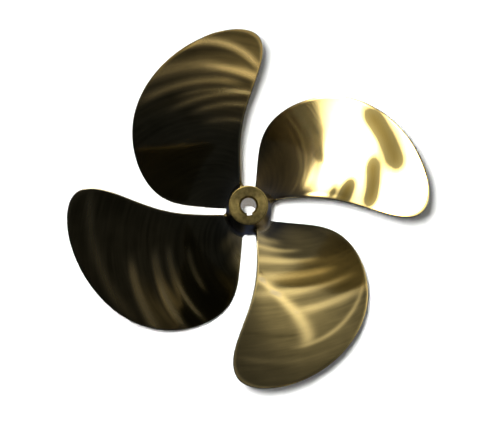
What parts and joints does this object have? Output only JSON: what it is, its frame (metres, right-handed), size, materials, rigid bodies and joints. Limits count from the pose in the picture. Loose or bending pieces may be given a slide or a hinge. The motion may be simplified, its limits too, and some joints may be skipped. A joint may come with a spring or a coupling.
{
  "type": "ship propeller",
  "caption": "Fixed-pitch left-handed ship's propeller, one polished bronze casting with broad skewed blades, a tapered bore and a keyway.",
  "frame": {"origin": "on the shaft axis, in the hub's forward face, which rests on the floor", "axes": "+Z along the shaft axis towards the aft face, where the small end of the bore opens; +Y towards the blade that is uppermost in the picture"},
  "size_m": [0.6924, 0.6924, 0.1984],
  "materials": {
    "bronze": "polished"
  },
  "bodies": {
    "root": {"propeller": "bronze"}
  },
  "joints": []
}
